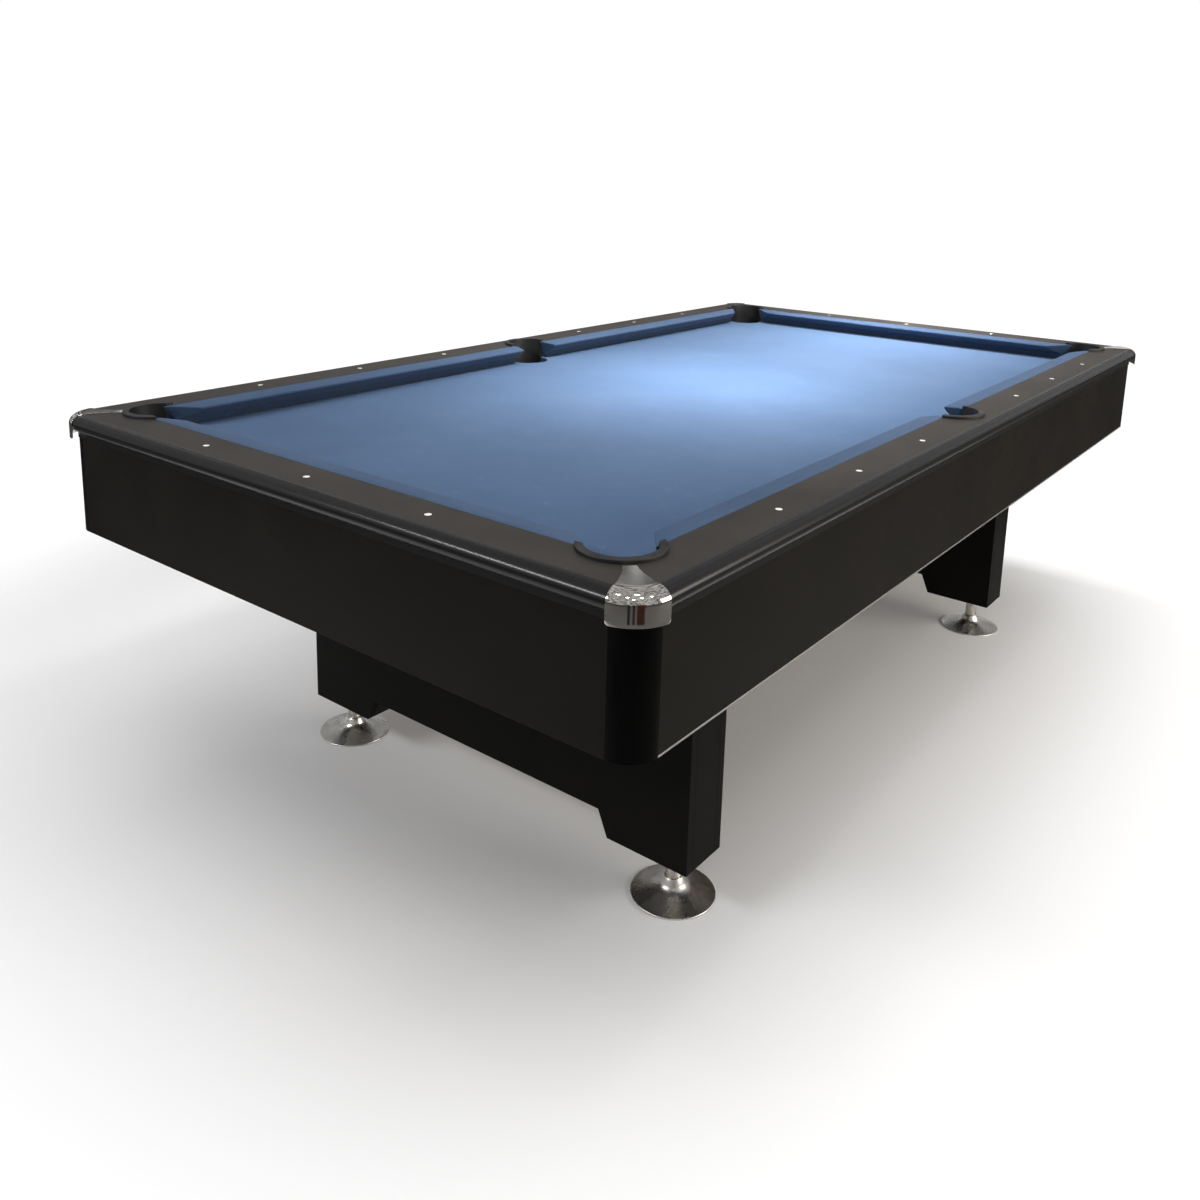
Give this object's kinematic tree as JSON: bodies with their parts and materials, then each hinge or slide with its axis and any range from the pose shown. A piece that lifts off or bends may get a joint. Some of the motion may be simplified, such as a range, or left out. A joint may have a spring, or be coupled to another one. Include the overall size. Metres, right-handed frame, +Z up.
{
  "type": "pool table",
  "caption": "Pool table with a cloth-covered slate bed, cushioned rails, drop pockets, bright corner caps, deep aprons and box pedestals on screw levelling feet.",
  "frame": {"origin": "on the floor, under the middle of the table", "axes": "+X along the table's length to the foot end, +Y to the left side, +Z up"},
  "size_m": [2.5286, 1.4086, 0.796],
  "materials": {
    "slate": "honed grey slate",
    "zinc_steel": "zinc plated",
    "cloth": "blue worsted wool",
    "cushion_rubber": "gum rubber",
    "feather_strip": "bare wood strip",
    "sight_white": "polished white inlay",
    "chrome_cap": "polished chrome",
    "rail_laminate": "satin black laminate on hardwood",
    "pocket_rubber": "matt black rubber",
    "bucket_plastic": "black moulded plastic",
    "trim_aluminium": "brushed aluminium",
    "corner_post_plastic": "satin black",
    "apron_laminate": "matt black laminate on board",
    "pedestal_laminate": "matt black laminate on board",
    "frame_wood": "sawn softwood",
    "cast_foot": "polished cast metal",
    "turned_stem": "plated steel"
  },
  "bodies": {
    "table": {"apron_brackets": "zinc_steel", "apron_trims": "trim_aluminium", "bed_cloth": "cloth", "corner_caps": "chrome_cap", "corner_posts": "corner_post_plastic", "feather_strips": "feather_strip", "foot_apron": "apron_laminate", "foot_cushion": "cushion_rubber", "foot_pedestal_blocks": "frame_wood", "foot_pedestal_inner_panel": "pedestal_laminate", "foot_pedestal_outer_panel": "pedestal_laminate", "foot_pedestal_side_panels": "pedestal_laminate", "foot_rail": "rail_laminate", "foot_slate": "slate", "frame_beams": "frame_wood", "frame_cross_beams": "frame_wood", "frame_screws": "zinc_steel", "head_apron": "apron_laminate", "head_cushion": "cushion_rubber", "head_pedestal_blocks": "frame_wood", "head_pedestal_inner_panel": "pedestal_laminate", "head_pedestal_outer_panel": "pedestal_laminate", "head_pedestal_side_panels": "pedestal_laminate", "head_rail": "rail_laminate", "head_slate": "slate", "left_apron": "apron_laminate", "left_foot_cushion": "cushion_rubber", "left_foot_pocket_liner": "pocket_rubber", "left_foot_rail": "rail_laminate", "left_head_cushion": "cushion_rubber", "left_head_pocket_liner": "pocket_rubber", "left_head_rail": "rail_laminate", "left_side_pocket_liner": "pocket_rubber", "leg_inserts": "zinc_steel", "middle_slate": "slate", "pedestal_bolts": "zinc_steel", "pocket_buckets": "bucket_plastic", "pocket_facings": "cushion_rubber", "rail_bolts": "zinc_steel", "rail_cloths": "cloth", "right_apron": "apron_laminate", "right_foot_cushion": "cushion_rubber", "right_foot_pocket_liner": "pocket_rubber", "right_foot_rail": "rail_laminate", "right_head_cushion": "cushion_rubber", "right_head_pocket_liner": "pocket_rubber", "right_head_rail": "rail_laminate", "right_side_pocket_liner": "pocket_rubber", "sights": "sight_white", "slate_dowels": "zinc_steel", "slate_screws": "zinc_steel"},
    "head_left_base": {"head_left_leveller_base": "cast_foot"},
    "head_left_stem": {"head_left_leveller_stem": "turned_stem"},
    "head_right_base": {"head_right_leveller_base": "cast_foot"},
    "head_right_stem": {"head_right_leveller_stem": "turned_stem"},
    "foot_left_base": {"foot_left_leveller_base": "cast_foot"},
    "foot_left_stem": {"foot_left_leveller_stem": "turned_stem"},
    "foot_right_base": {"foot_right_leveller_base": "cast_foot"},
    "foot_right_stem": {"foot_right_leveller_stem": "turned_stem"}
  },
  "joints": [
    {"name": "head_left_leveller_travel", "type": "slide", "parent": "table", "child": "head_left_base", "axis": [0, 0, -1], "range_m": [0, 0.03]},
    {"name": "head_left_leveller_turn", "type": "hinge", "parent": "head_left_base", "child": "head_left_stem", "pos_m": [-0.765, 0.441, 0.088], "axis": [0, 0, -1], "range_deg": [0, 3600]},
    {"name": "head_right_leveller_travel", "type": "slide", "parent": "table", "child": "head_right_base", "axis": [0, 0, -1], "range_m": [0, 0.03]},
    {"name": "head_right_leveller_turn", "type": "hinge", "parent": "head_right_base", "child": "head_right_stem", "pos_m": [-0.765, -0.441, 0.088], "axis": [0, 0, -1], "range_deg": [0, 3600]},
    {"name": "foot_left_leveller_travel", "type": "slide", "parent": "table", "child": "foot_left_base", "axis": [0, 0, -1], "range_m": [0, 0.03]},
    {"name": "foot_left_leveller_turn", "type": "hinge", "parent": "foot_left_base", "child": "foot_left_stem", "pos_m": [0.765, 0.441, 0.088], "axis": [0, 0, -1], "range_deg": [0, 3600]},
    {"name": "foot_right_leveller_travel", "type": "slide", "parent": "table", "child": "foot_right_base", "axis": [0, 0, -1], "range_m": [0, 0.03]},
    {"name": "foot_right_leveller_turn", "type": "hinge", "parent": "foot_right_base", "child": "foot_right_stem", "pos_m": [0.765, -0.441, 0.088], "axis": [0, 0, -1], "range_deg": [0, 3600]}
  ],
  "couplings": [
    {"joint": "head_left_leveller_turn", "follows": "head_left_leveller_travel", "rad_per_m": 2094.4},
    {"joint": "head_right_leveller_turn", "follows": "head_right_leveller_travel", "rad_per_m": 2094.4},
    {"joint": "foot_left_leveller_turn", "follows": "foot_left_leveller_travel", "rad_per_m": 2094.4},
    {"joint": "foot_right_leveller_turn", "follows": "foot_right_leveller_travel", "rad_per_m": 2094.4}
  ]
}
